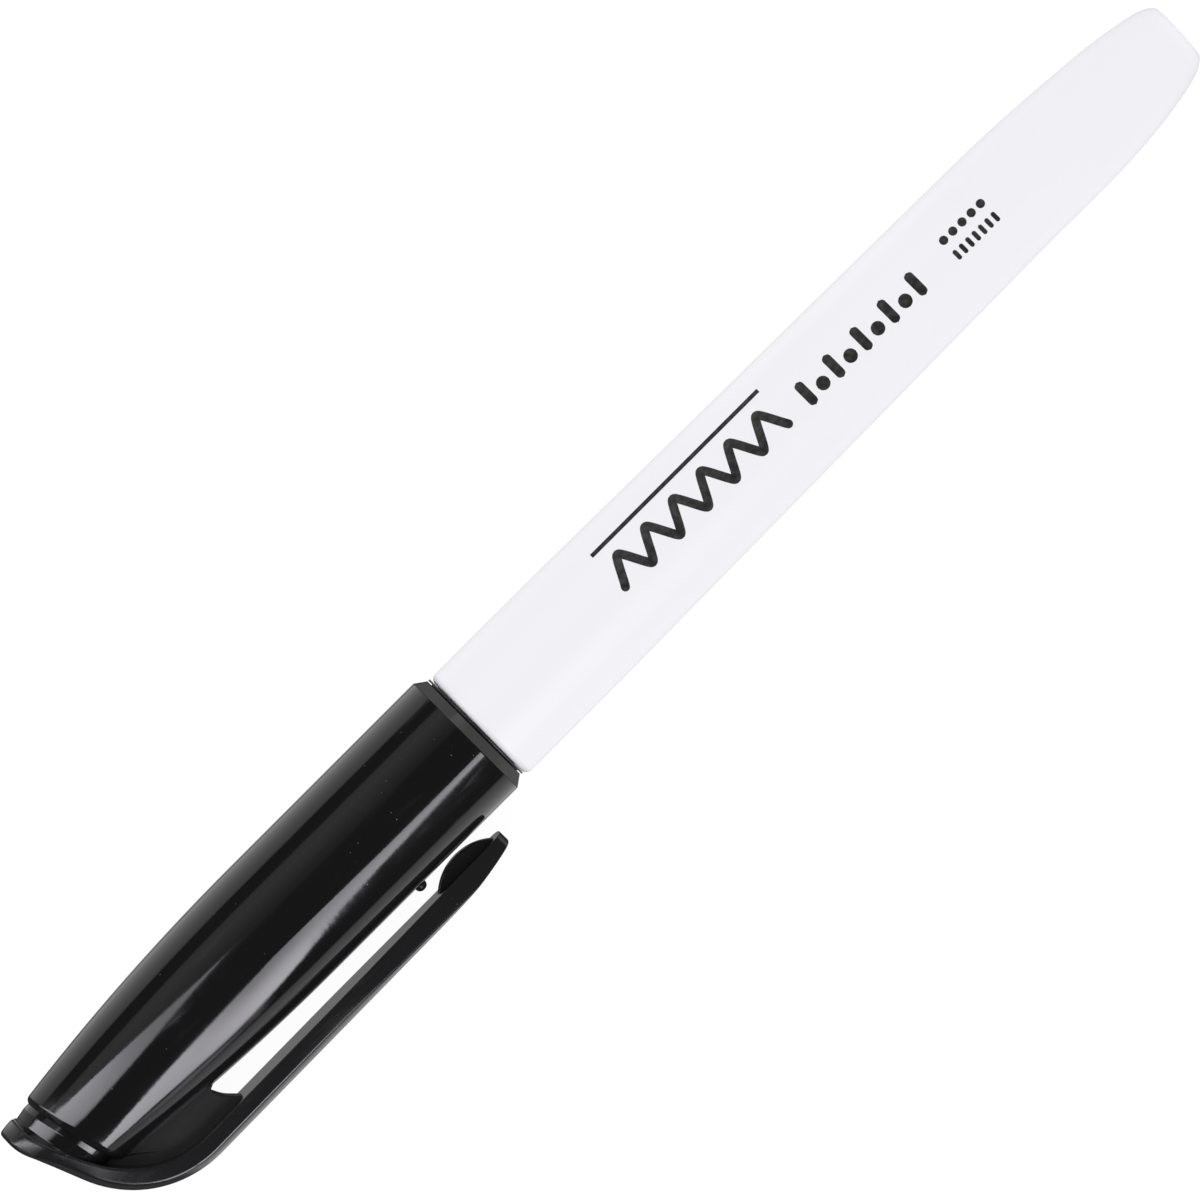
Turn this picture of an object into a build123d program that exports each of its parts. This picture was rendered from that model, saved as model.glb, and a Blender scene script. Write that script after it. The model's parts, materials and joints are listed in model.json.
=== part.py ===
"""Pen-style dry-erase marker: barrel, writing unit, ink reservoir, and a cap with its clip.

Drawn with the marker's axis on X: the cap's end plate at PLATE_FACE_X, the barrel's tail at
TAIL_END_X, and the clip towards +Y. At the end it is rolled about its own axis and laid on
z = 0, resting on the cap and on the clip's edge, with its box centred on the origin.
"""
from build123d import *
from math import asin, atan2, cos, degrees, hypot, radians, sin, sqrt, tan
import os

# ---- driving dimensions, mm ---------------------------------------------------------------------
PLATE_FACE_X = 0.2
TAIL_END_X = 137.1

# barrel: straight grip stretch, shallow taper, rounded closed tail with a small flat
BARREL_FRONT_X = 53.3
BARREL_RADIUS = 5.79
GRIP_LENGTH = 11.6
TAPER_END_X = 119.2
TAPER_END_RADIUS = 5.19
TAIL_DOME = [(126.3, 4.92), (132.4, 4.37), (135.5, 3.66)]
TAIL_FLAT_RADIUS = 2.5
BARREL_CORNER = 0.7
BARREL_BORE_RADIUS = 4.6
BARREL_WALL = 1.15
TAIL_WALL = 2.0
TAIL_WALL_RADIUS = 1.4
RESERVOIR_STOP_X = 128.5
RESERVOIR_STOP_RADIUS = 3.92

# nib holder: plug pressed into the barrel, thin collar that the cap's mouth stops against,
# section inside the cap, nose round the nib
PLUG_LENGTH = 9.0
PLUG_PRESS = 0.03
PLUG_LEAD = 0.5
COLLAR_RADIUS = 5.6
COLLAR_LENGTH = 0.2
SECTION_RADIUS = 5.12
SECTION_FRONT_X = 26.4
SECTION_FRONT_RADIUS = 4.5
SECTION_TAPER = 12.0
SECTION_SHOULDER = 1.6
SNAP_X = 46.5
SNAP_HEIGHT = 0.14
SNAP_HALF_LENGTH = 0.8
NOSE_RADIUS = 2.95
NOSE_TIP_X = 16.6
NOSE_TIP_RADIUS = 2.35
NOSE_TIP_LENGTH = 0.9
RESERVOIR_SEAT_X = 30.5

# nib
NIB_RADIUS = 1.8
NIB_TIP_X = 12.4
NIB_TAIL_X = 38.5
NIB_BULLET_LENGTH = 3.0
NIB_TAIL_TAPER = 3.0

# ink reservoir
CORE_RADIUS = 3.7
FILM_THICKNESS = 0.15
RESERVOIR_LENGTH = 96.0
RESERVOIR_SIDE_GAP = 0.05

# cap body
CAP_RADIUS = 6.25
CAP_MOUTH_X = 53.05
CAP_STRAIGHT_X = 30.2
CAP_TAPER_ARC = 205.0
CAP_END_X = 4.61
CAP_END_SLANT = 12.3
CAP_END_CORNER = 0.7
MOUTH_CHAMFER_LENGTH = 1.0
MOUTH_CHAMFER_DEPTH = 0.72
CAP_BORE_RADIUS = 5.42
CAP_TAPER_BORE_RADIUS = 5.36
CAP_BORE_LEAD = 4.0
CAVITY_END_X = 7.27
CAP_CATCH_X = 49.0
CAP_CATCH_HEIGHT = 0.12

# inner seal pressed into the closed end of the cap
SEAL_BORE_RADIUS = 3.0
SEAL_RADIUS = 4.2
SEAL_MOUTH_RADIUS = 3.75
SEAL_MOUTH_X = 23.2
SEAL_SEAT_LENGTH = 5.0
SEAL_TAPER_LENGTH = 2.0
SEAL_LIP = 0.3
SEAL_LIP_LEAD = 0.8
SEAL_END_WALL = 0.8

# neck and slanted end plate
NECK_RADIUS = 4.05
PLATE_RADIUS = 4.22
PLATE_THICKNESS = 1.7
PLATE_SLANT = 21.2
PLATE_BEND_RADIUS = 6.0
PLATE_EDGE = 0.8
PLATE_TAPER_END = 5.3

# clip: one ribbon from the end plate, round a bend, along the cap
CLIP_CORNER = (4.95, 10.6)
CLIP_BEND_RADIUS = 10.5
CLIP_DROOP = 0.65
CLIP_THICKNESS = 2.2
CLIP_WIDTH = 4.8
CLIP_CROWN_RADIUS = 4.0
CLIP_END_X = 48.35
CLIP_NOSE_X = 38.5
CLIP_NOSE_ARC = 46.0
CLIP_NOSE_WIDTH = 2.7
CLIP_NOSE_TAPER = 20.0
CLIP_NOSE_CORNER = 0.9
CLIP_HINGE_X = 18.4
CLIP_KNUCKLE_RADIUS = 1.3
CLIP_KNUCKLE_GAP = 0.03
FIN_CENTRE_X = 44.25
FIN_RADIUS = 4.9
FIN_TOP_HEIGHT = 6.66
FIN_THICKNESS = 1.0
WEB_THICKNESS = 2.0
WEB_FOOT = (15.3, 6.0)
WEB_WAIST = (15.75, 7.1)
WEB_TOP = (17.0, 8.6)
PIP_X = 40.35
PIP_RADIUS = 0.55
PIP_HEIGHT = 0.65

REACH = 30.0


def turned(outline):
    """Solid of revolution about the marker's axis from a closed half outline."""
    return revolve(make_face(outline.edges()), Axis.X)


def rod(start_x, end_x, radius):
    """Plain cylinder on the marker's axis."""
    return Pos((start_x + end_x) / 2, 0, 0) * Rot(0, 90, 0) * Cylinder(radius, end_x - start_x)


def ridge(centre_x, base_radius, height, half_length):
    """Low rounded ring on the marker's axis, rising outwards when height is positive."""
    start = (centre_x - half_length, base_radius)
    crest = (centre_x, base_radius + height)
    end = (centre_x + half_length, base_radius)
    root = base_radius - 0.3 if height > 0 else base_radius + 0.3
    arc = ThreePointArc(start, crest, end)
    back = Polyline(end, (end[0], root), (start[0], root), start)
    return turned(arc + back)


# ---- barrel ---------------------------------------------------------------------------------------
def barrel_outline():
    """Outside of the barrel from the front corner to the tail's flat."""
    grip_end = (BARREL_FRONT_X + GRIP_LENGTH, BARREL_RADIUS)
    taper_end = (TAPER_END_X, TAPER_END_RADIUS)
    slope = (TAPER_END_RADIUS - BARREL_RADIUS) / (TAPER_END_X - grip_end[0])
    dome = Spline(
        taper_end,
        *TAIL_DOME,
        (TAIL_END_X, TAIL_FLAT_RADIUS),
        tangents=[(1, slope), (0, -1)],
    )
    return Polyline((BARREL_FRONT_X, BARREL_RADIUS), grip_end, taper_end) + dome


def barrel():
    """White tube, closed and rounded at the tail, open at the front."""
    close = Polyline(
        (TAIL_END_X, TAIL_FLAT_RADIUS),
        (TAIL_END_X, 0),
        (BARREL_FRONT_X, 0),
        (BARREL_FRONT_X, BARREL_RADIUS),
    )
    outside = turned(barrel_outline() + close)
    front_rim = outside.edges().filter_by(GeomType.CIRCLE).sort_by(Axis.X)[0]
    outside = fillet(front_rim, BARREL_CORNER)
    bore_end = TAIL_END_X - TAIL_WALL
    stop_end = RESERVOIR_STOP_X + 4
    bore = Polyline(
        (BARREL_FRONT_X - 1, 0),
        (BARREL_FRONT_X - 1, BARREL_BORE_RADIUS),
        (BARREL_FRONT_X + PLUG_LENGTH + 1, BARREL_BORE_RADIUS),
        (TAPER_END_X, TAPER_END_RADIUS - BARREL_WALL),
        (RESERVOIR_STOP_X, RESERVOIR_STOP_RADIUS),
        (stop_end, RESERVOIR_STOP_RADIUS - 0.9),
        (bore_end, TAIL_WALL_RADIUS),
        (bore_end, 0),
        (BARREL_FRONT_X - 1, 0),
    )
    return outside - turned(bore)


# ---- writing unit ---------------------------------------------------------------------------------
def nib_holder():
    """Plug, collar, section with its snap ridge, and the nose that carries the nib."""
    plug_radius = BARREL_BORE_RADIUS + PLUG_PRESS
    plug_end = BARREL_FRONT_X + PLUG_LENGTH
    collar_x = BARREL_FRONT_X - COLLAR_LENGTH
    outline = Polyline(
        (NOSE_TIP_X, 0),
        (NOSE_TIP_X, NOSE_TIP_RADIUS),
        (NOSE_TIP_X + NOSE_TIP_LENGTH, NOSE_RADIUS),
        (SECTION_FRONT_X - SECTION_SHOULDER, NOSE_RADIUS),
        (SECTION_FRONT_X, SECTION_FRONT_RADIUS),
        (SECTION_FRONT_X + SECTION_TAPER, SECTION_RADIUS),
        (collar_x, SECTION_RADIUS),
        (collar_x, COLLAR_RADIUS),
        (BARREL_FRONT_X, COLLAR_RADIUS),
        (BARREL_FRONT_X, plug_radius),
        (plug_end - PLUG_LEAD, plug_radius),
        (plug_end, plug_radius - PLUG_LEAD),
        (plug_end, 0),
        (NOSE_TIP_X, 0),
    )
    body = turned(outline)
    corners = body.edges().filter_by(GeomType.CIRCLE).filter_by(
        lambda rim: SECTION_FRONT_X - 2 < rim.center().X < SECTION_FRONT_X + 1
    )
    body = fillet(corners, 0.8)
    body += ridge(SNAP_X, SECTION_RADIUS, SNAP_HEIGHT, SNAP_HALF_LENGTH)
    seat_radius = CORE_RADIUS + FILM_THICKNESS + RESERVOIR_SIDE_GAP
    nib_bore = rod(NOSE_TIP_X - 1, RESERVOIR_SEAT_X + 1, NIB_RADIUS)
    reservoir_bore = rod(RESERVOIR_SEAT_X, plug_end + 1, seat_radius)
    return body - nib_bore - reservoir_bore


def nib_blank(extra=0.0):
    """Bullet nib; extra widens and lengthens its tail end for the pocket it makes in the core."""
    radius = NIB_RADIUS + extra
    tip_start = NIB_TIP_X + NIB_BULLET_LENGTH
    tail_end = NIB_TAIL_X + extra
    bullet = Spline(
        (NIB_TIP_X, 0),
        (NIB_TIP_X + 0.75, 0.95),
        (tip_start, radius),
        tangents=[(0, 1), (1, 0.1)],
    )
    rest = Polyline(
        (tip_start, radius),
        (tail_end - NIB_TAIL_TAPER, radius),
        (tail_end, radius - 0.9),
        (tail_end, 0),
        (NIB_TIP_X, 0),
    )
    return turned(bullet + rest)


def reservoir_core():
    """Fibre rod that holds the ink; the nib's tail stands in a pocket in its front end."""
    core = rod(RESERVOIR_SEAT_X, RESERVOIR_SEAT_X + RESERVOIR_LENGTH, CORE_RADIUS)
    return core - nib_blank(extra=0.01)


def reservoir_film():
    """Thin sleeve round the fibre rod."""
    start_x = RESERVOIR_SEAT_X
    end_x = start_x + RESERVOIR_LENGTH
    sleeve = rod(start_x, end_x, CORE_RADIUS + FILM_THICKNESS)
    return sleeve - rod(start_x - 1, end_x + 1, CORE_RADIUS)


# ---- cap ------------------------------------------------------------------------------------------
def arc_drop(distance, radius):
    """Fall of a tangent arc away from its tangent line after a given run."""
    return radius - sqrt(radius ** 2 - distance ** 2)


def cap_radius_at(x):
    """Outside radius of the cap body."""
    return CAP_RADIUS - arc_drop(max(CAP_STRAIGHT_X - x, 0), CAP_TAPER_ARC)


def cap_body():
    """Outside of the cap body: straight stretch, long taper, slanted closed end, bevelled mouth."""
    blunt_x = CAP_END_X - 3
    taper = TangentArc(
        (CAP_STRAIGHT_X, CAP_RADIUS),
        (blunt_x, cap_radius_at(blunt_x)),
        tangent=(-1, 0),
    )
    close = Polyline(
        (blunt_x, cap_radius_at(blunt_x)),
        (blunt_x, 0),
        (CAP_MOUTH_X, 0),
        (CAP_MOUTH_X, CAP_RADIUS - MOUTH_CHAMFER_DEPTH),
        (CAP_MOUTH_X - MOUTH_CHAMFER_LENGTH, CAP_RADIUS),
        (CAP_STRAIGHT_X, CAP_RADIUS),
    )
    body = turned(taper + close)
    slanted_end = Pos(CAP_END_X, 0, 0) * Rot(0, 0, -CAP_END_SLANT)
    body -= slanted_end * Pos(-REACH / 2, 0, 0) * Box(REACH, REACH, REACH)
    end_rim = body.faces().sort_by(Axis.X)[0].edges()
    return fillet(end_rim, CAP_END_CORNER)


def cap_cavity():
    """Inside of the cap: seat of the inner seal, taper, and the bore over the holder's section."""
    outline = Polyline(
        (CAVITY_END_X, 0),
        (CAVITY_END_X, SEAL_RADIUS),
        (CAVITY_END_X + SEAL_SEAT_LENGTH, SEAL_RADIUS),
        (CAP_STRAIGHT_X, CAP_TAPER_BORE_RADIUS),
        (CAP_STRAIGHT_X + CAP_BORE_LEAD, CAP_BORE_RADIUS),
        (CAP_MOUTH_X + 1, CAP_BORE_RADIUS),
        (CAP_MOUTH_X + 1, 0),
        (CAVITY_END_X, 0),
    )
    return turned(outline) - ridge(CAP_CATCH_X, CAP_BORE_RADIUS, -CAP_CATCH_HEIGHT, SNAP_HALF_LENGTH)


def cap_inner_seal():
    """Soft cup in the closed end of the cap; its bore closes round the holder's nose."""
    seat_end = CAVITY_END_X + SEAL_SEAT_LENGTH
    floor_x = CAVITY_END_X + SEAL_END_WALL
    outline = Polyline(
        (CAVITY_END_X, 0),
        (CAVITY_END_X, SEAL_RADIUS),
        (seat_end, SEAL_RADIUS),
        (seat_end + SEAL_TAPER_LENGTH, SEAL_MOUTH_RADIUS),
        (SEAL_MOUTH_X, SEAL_MOUTH_RADIUS),
        (SEAL_MOUTH_X, SEAL_MOUTH_RADIUS - SEAL_LIP),
        (SEAL_MOUTH_X - SEAL_LIP_LEAD, SEAL_BORE_RADIUS),
        (floor_x, SEAL_BORE_RADIUS),
        (floor_x, 0),
        (CAVITY_END_X, 0),
    )
    return turned(outline)


# ---- clip -----------------------------------------------------------------------------------------
def slanted_x(height, inset=0.0):
    """X of the end plate's slanted part at a height above the axis, inset from its outer face."""
    angle = radians(PLATE_SLANT)
    return CLIP_CORNER[0] - (CLIP_CORNER[1] - height) * tan(angle) + inset / cos(angle)


def plate_line(inset, low, high):
    """Side view of the end plate: square to the axis at the far side, then slanted to the clip."""
    angle = radians(PLATE_SLANT)
    face_x = PLATE_FACE_X + inset
    bend_height = CLIP_CORNER[1] - (CLIP_CORNER[0] - face_x + inset / cos(angle)) / tan(angle)
    return FilletPolyline(
        (face_x, low),
        (face_x, bend_height),
        (slanted_x(high, inset), high),
        radius=PLATE_BEND_RADIUS - inset,
    )


def clip_outer_height(x):
    """Distance of the clip's outer line from the marker's axis, on its straight stretch."""
    return CLIP_CORNER[1] - (x - CLIP_CORNER[0]) * tan(radians(CLIP_DROOP))


def clip_inner_height(x):
    """Distance of the clip's inner face from the marker's axis, on its straight stretch."""
    return clip_outer_height(x) - CLIP_THICKNESS / cos(radians(CLIP_DROOP))


def ribbon_section():
    """Cross-section of the clip: flat inside, straight sides, crowned outside; crest at the origin."""
    half = CLIP_WIDTH / 2
    edge_drop = arc_drop(half, CLIP_CROWN_RADIUS)
    crown = ThreePointArc((-half, -edge_drop), (0, 0), (half, -edge_drop))
    sides = Polyline(
        (half, -edge_drop),
        (half, -CLIP_THICKNESS),
        (-half, -CLIP_THICKNESS),
        (-half, -edge_drop),
    )
    return make_face((crown + sides).edges())


def ribbon():
    """The clip's whole ribbon, from the end plate to the nose, with its tapered free end."""
    start = (slanted_x(0), 0)
    end = (CLIP_END_X, clip_outer_height(CLIP_END_X))
    path = FilletPolyline(start, CLIP_CORNER, end, radius=CLIP_BEND_RADIUS)
    frame = Plane(origin=path @ 0, x_dir=(0, 0, -1), z_dir=path % 0)
    solid = sweep(frame * ribbon_section(), path=path)
    return solid & nose_side() & nose_plan()


def nose_side():
    """Side view of the space the ribbon may fill: its outer line falls along an arc at the nose."""
    run = CLIP_END_X - CLIP_NOSE_X
    nose_start = (CLIP_NOSE_X, clip_outer_height(CLIP_NOSE_X))
    nose_end = (CLIP_END_X, clip_outer_height(CLIP_END_X) - arc_drop(run, CLIP_NOSE_ARC))
    slope = (1, -tan(radians(CLIP_DROOP)))
    fall = TangentArc(nose_start, nose_end, tangent=slope)
    close = Polyline(
        nose_end,
        (CLIP_END_X, 0),
        (-REACH, 0),
        (-REACH, REACH),
        (CLIP_NOSE_X, REACH),
        nose_start,
    )
    side = make_face((fall + close).edges())
    return extrude(side, REACH, both=True)


def nose_plan():
    """Plan of the space the ribbon may fill: it narrows to a blunt nose with rounded corners."""
    taper_x = CLIP_END_X - CLIP_NOSE_TAPER
    side = CLIP_WIDTH / 2 + 0.1
    plan = make_face(Polyline(
        (-REACH, side),
        (taper_x, side),
        (CLIP_END_X, CLIP_NOSE_WIDTH / 2),
        (CLIP_END_X, -CLIP_NOSE_WIDTH / 2),
        (taper_x, -side),
        (-REACH, -side),
        (-REACH, side),
    ).edges())
    plan = fillet(plan.vertices().sort_by(Axis.X)[-2:], CLIP_NOSE_CORNER)
    return extrude(Plane.XZ * plan, REACH, both=True)


def fin():
    """Rounded grip fin on the inside of the clip's nose."""
    centre_height = FIN_TOP_HEIGHT + FIN_RADIUS
    disc = Pos(FIN_CENTRE_X, centre_height) * Circle(FIN_RADIUS)
    cut_height = clip_inner_height(FIN_CENTRE_X) + 0.4
    keep = Pos(FIN_CENTRE_X, cut_height - REACH / 2) * Rectangle(REACH, REACH)
    return extrude(disc & keep, FIN_THICKNESS / 2, both=True)


def hinge_centre():
    """Centre of the flexing root of the clip, in the middle of the ribbon."""
    return (CLIP_HINGE_X, clip_outer_height(CLIP_HINGE_X) - CLIP_THICKNESS / 2)


def free_side(radius):
    """Everything on the nose side of a rounded joint line about the clip's flexing root."""
    x, height = hinge_centre()
    disc = Pos(x, height) * Circle(radius)
    beyond = Pos(x + REACH, height) * Rectangle(2 * REACH, 2 * REACH)
    return extrude(disc + beyond, REACH, both=True)


def clip_arm():
    """Free part of the clip: it bends outwards about its root to take a pocket's edge."""
    return (ribbon() & free_side(CLIP_KNUCKLE_RADIUS)) + fin()


def clip_root():
    """Fixed part of the clip ribbon, between the end plate and the flexing root."""
    return ribbon() - free_side(CLIP_KNUCKLE_RADIUS + CLIP_KNUCKLE_GAP)


def end_plate():
    """Round plate at the end of the cap, drawn out towards the clip's ribbon."""
    low, high = -PLATE_RADIUS - 1, PLATE_TAPER_END + 1
    outer = plate_line(0, low, high)
    inner = plate_line(PLATE_THICKNESS, low, high)
    ends = Line(outer @ 0, inner @ 0) + Line(outer @ 1, inner @ 1)
    band = extrude(make_face((outer + inner + ends).edges()), REACH, both=True)
    round_end = Circle(PLATE_RADIUS) + Pos(PLATE_TAPER_END, 0) * Rectangle(0.6, CLIP_WIDTH)
    front_view = Plane(origin=(-REACH / 2, 0, 0), x_dir=(0, 1, 0), z_dir=(1, 0, 0))
    column = extrude(front_view * make_hull(round_end.edges()), REACH)
    plate = band & column
    outer_rim = plate.edges().group_by(Axis.X)[0].sort_by(Axis.Y)[0]
    return fillet(outer_rim, PLATE_EDGE)


def bend_run():
    """Length of the straight that the clip's main bend takes up on each side of its corner."""
    return CLIP_BEND_RADIUS * tan(radians((90 - PLATE_SLANT + CLIP_DROOP) / 2))


def web():
    """Thin wall that joins the clip's bend to the neck and the cap body."""
    bend_start = CLIP_CORNER[1] - bend_run() * cos(radians(PLATE_SLANT))
    outline = Polyline(
        (CAP_END_X + 1, 1.5),
        (slanted_x(1.5, 1), 1.5),
        (slanted_x(bend_start, 1), bend_start),
        (5.1, 7.2),
        (7.8, 8.9),
        (11.2, 9.6),
        (WEB_TOP[0], WEB_TOP[1] + 0.3),
        WEB_TOP,
    )
    free_edge = ThreePointArc(WEB_TOP, WEB_WAIST, WEB_FOOT)
    close = Polyline(WEB_FOOT, (WEB_FOOT[0] - 0.5, 4.5), (CAP_END_X + 1, 1.5))
    return extrude(make_face((outline + free_edge + close).edges()), WEB_THICKNESS / 2, both=True)


def pip():
    """Small moulded stud on the cap body under the clip."""
    top = CAP_RADIUS + PIP_HEIGHT
    stem = Pos(PIP_X, top - PIP_RADIUS - 0.5, 0) * Rot(90, 0, 0) * Cylinder(PIP_RADIUS, 1.0)
    return stem + Pos(PIP_X, top - PIP_RADIUS, 0) * Sphere(PIP_RADIUS)


def neck():
    """Short round neck between the end plate and the cap body."""
    inset = PLATE_THICKNESS / 2
    blank = rod(-1, CAP_END_X + 1.5, NECK_RADIUS)
    line = plate_line(inset, -REACH, REACH)
    close = Polyline(line @ 1, (REACH, REACH), (REACH, -REACH), line @ 0)
    behind_plate = extrude(make_face((line + close).edges()), REACH, both=True)
    return blank & behind_plate


def cap_shell():
    """Cap body, neck, end plate, clip root, web and stud, moulded in one and hollowed out."""
    solid = cap_body() + neck() + end_plate() + clip_root() + web() + pip()
    return solid - cap_cavity()


# ---- placing --------------------------------------------------------------------------------------
def clip_roll():
    """Roll about the marker's axis that brings the clip's edge down to the surface under the cap."""
    half = CLIP_WIDTH / 2
    edge_height = clip_outer_height(CLIP_CORNER[0] + bend_run()) - arc_drop(half, CLIP_CROWN_RADIUS)
    return degrees(asin(CAP_RADIUS / hypot(edge_height, half)) - atan2(half, edge_height))


def main():
    shapes = {
        "barrel": barrel(),
        "nib_holder": nib_holder(),
        "nib": nib_blank(),
        "reservoir_core": reservoir_core(),
        "reservoir_film": reservoir_film(),
        "cap_shell": cap_shell(),
        "cap_inner_seal": cap_inner_seal(),
        "clip_arm": clip_arm(),
    }
    roll = Rot(180 + clip_roll(), 0, 0)
    rolled = {name: roll * shape for name, shape in shapes.items()}
    boxes = [shape.bounding_box() for shape in rolled.values()]
    low_x, high_x = min(box.min.X for box in boxes), max(box.max.X for box in boxes)
    low_y, high_y = min(box.min.Y for box in boxes), max(box.max.Y for box in boxes)
    low_z = min(box.min.Z for box in boxes)
    shift = Pos(-(low_x + high_x) / 2, -(low_y + high_y) / 2, -low_z)
    os.makedirs("parts", exist_ok=True)
    for name, shape in rolled.items():
        export_step(shift * shape, f"parts/{name}.step")
    print(f"roll {clip_roll():.3f} deg; shifted by {shift.position}; x from {low_x:.3f} to {high_x:.3f}")


main()
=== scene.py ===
"""Looks of a pen-style whiteboard marker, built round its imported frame.

Shapes are worked out in the marker's own directions, in millimetres: x along the axis from just
before the cap's end plate, u across towards the clip, v square to both and upwards. at() turns
them into metres in the row frame.
"""
import json
import math
import random

import bmesh
import bpy
from mathutils import Matrix, Vector


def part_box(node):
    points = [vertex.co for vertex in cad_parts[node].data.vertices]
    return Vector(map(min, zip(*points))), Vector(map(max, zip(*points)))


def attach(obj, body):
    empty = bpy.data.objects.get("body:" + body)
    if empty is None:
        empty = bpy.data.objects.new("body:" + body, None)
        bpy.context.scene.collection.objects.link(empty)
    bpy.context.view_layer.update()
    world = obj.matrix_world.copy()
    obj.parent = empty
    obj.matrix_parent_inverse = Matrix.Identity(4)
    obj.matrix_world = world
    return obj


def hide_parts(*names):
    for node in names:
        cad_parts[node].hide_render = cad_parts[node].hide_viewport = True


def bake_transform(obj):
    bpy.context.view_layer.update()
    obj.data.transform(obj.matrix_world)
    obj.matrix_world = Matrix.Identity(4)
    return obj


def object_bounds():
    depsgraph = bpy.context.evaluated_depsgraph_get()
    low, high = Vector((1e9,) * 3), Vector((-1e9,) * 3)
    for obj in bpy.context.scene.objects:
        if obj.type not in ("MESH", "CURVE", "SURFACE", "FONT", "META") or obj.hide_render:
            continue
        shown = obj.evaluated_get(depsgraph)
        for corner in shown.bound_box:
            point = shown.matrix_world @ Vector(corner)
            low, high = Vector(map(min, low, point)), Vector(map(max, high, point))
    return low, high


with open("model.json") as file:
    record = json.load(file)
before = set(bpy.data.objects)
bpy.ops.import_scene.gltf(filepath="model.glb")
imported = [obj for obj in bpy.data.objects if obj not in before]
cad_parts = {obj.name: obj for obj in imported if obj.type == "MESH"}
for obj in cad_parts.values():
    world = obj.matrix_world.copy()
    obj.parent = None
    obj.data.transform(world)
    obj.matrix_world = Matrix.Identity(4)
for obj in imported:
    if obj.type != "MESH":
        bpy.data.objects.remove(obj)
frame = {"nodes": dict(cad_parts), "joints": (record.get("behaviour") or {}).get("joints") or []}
cad_low, cad_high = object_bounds()

# ---- the marker's own directions, from the frame ---------------------------------------------------
MM = 0.001
barrel_low, barrel_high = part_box("barrel")
clip_flex = next(joint for joint in frame["joints"] if joint["name"] == "clip_flex")
hinge_point = Vector(clip_flex["pos_m"])
PLATE_FACE = 0.2
barrel_middle = (barrel_low + barrel_high) / 2
ORIGIN = Vector((cad_low.x - PLATE_FACE * MM, barrel_middle.y, barrel_middle.z))
ALONG = Vector((1, 0, 0))
UP = -Vector(clip_flex["axis"]).normalized()
TO_CLIP = UP.cross(ALONG)
if TO_CLIP.dot(hinge_point - ORIGIN) < 0:
    TO_CLIP.negate()

# ---- driving dimensions, mm ------------------------------------------------------------------------
TAIL_END = (cad_high.x - ORIGIN.x) / MM
BARREL_FRONT = (barrel_low.x - ORIGIN.x) / MM
BARREL_RADIUS = (barrel_high.z - barrel_low.z) / 2 / MM
GRIP_LENGTH = 11.6
TAPER_END = 119.2
TAPER_END_RADIUS = 5.19
TAIL_FLAT_RADIUS = 2.5
TAIL_START = 119.0
TAIL_SWING = 0.27
TAIL_SKEW = 0.045
FRONT_BORE = 4.6

HOLDER_BORE = 3.9
COLLAR_RADIUS = 5.6
SECTION_RADIUS = 5.12
RING_BACK = 47.3
RING_HEIGHT = 0.14
NOSE_RADIUS = 2.95
NIB_SEAT_RADIUS = 1.8
NIB_RADIUS = 1.79
NIB_BACK = 35.5
NIB_SHOULDER = 15.4

CAP_RADIUS = 6.25
CAP_MOUTH = 53.05
CAP_STRAIGHT = 30.2
CAP_TAPER_ARC = 205.0
CAP_END = 4.61
CAP_END_SLOPE = math.tan(math.radians(12.3))
CAP_BORE = 5.42
CATCH_BACK = 49.8
CATCH_HEIGHT = 0.12
SNAP_LENGTH = 1.6
SEAL_RADIUS = 4.2
SEAL_BORE = 3.0
CAVITY_END = 7.27
NECK_RADIUS = 4.05

PLATE_RADIUS = 4.22
PLATE_SLANT = math.radians(21.2)
PLATE_THICKNESS = 1.7
PLATE_BEND_RADIUS = 6.0
CLIP_CORNER = (5.12, 10.56)
CLIP_BEND_RADIUS = 10.5
CLIP_DROOP = math.radians(0.65)
CLIP_THICKNESS = 2.2
CLIP_HALF_WIDTH = 2.4
PLATE_TAPER = 15.0
NOSE_HALF_WIDTH = 1.35
NOSE_TAPER = 20.0
CLIP_CROWN_RADIUS = 4.0
CLIP_END = 48.35
NOSE_FALL_START = 38.5
NOSE_FALL_ARC = 46.0
FIN_CENTRE = 44.25
FIN_RADIUS = 4.9
FIN_TOP = 6.62
FIN_HALF_THICKNESS = 0.5
WEB_HALF_THICKNESS = 1.0
PIP_X = 40.35
PIP_RADIUS = 0.53
PIP_HEIGHT = 0.62

# The camera stands this far round from square to the clip, away from it.
VIEW_ROLL = math.radians(8.7)

# In reflections the table falls away a little towards the clip's side.
TABLE_TILT = math.radians(3.5)

# The cap's fit lets it sit a little off the barrel's axis: how far each stands towards the clip.
BARREL_OFFSET = 0.20
CAP_OFFSET = -0.06

AROUND = 160


def at(x, u=0.0, v=0.0):
    """Point in the row frame, in metres, from millimetres in the marker's own directions."""
    return ORIGIN + (ALONG * x + TO_CLIP * u + UP * v) * MM


# ---- mesh helpers ----------------------------------------------------------------------------------
def make_object(name, vertices, faces, material):
    """Smooth-shaded mesh object; faces may repeat a vertex, which shortens them."""
    clean = []
    for face in faces:
        kept = [vertex for i, vertex in enumerate(face) if vertex != face[i - 1]]
        if len(kept) > 2:
            clean.append(kept)
    mesh = bpy.data.meshes.new(name)
    mesh.from_pydata([tuple(vertex) for vertex in vertices], [], clean)
    mesh.validate()
    mesh.polygons.foreach_set("use_smooth", [True] * len(mesh.polygons))
    mesh.materials.append(material)
    thing = bpy.data.objects.new(name, mesh)
    bpy.context.scene.collection.objects.link(thing)
    return thing


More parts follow.
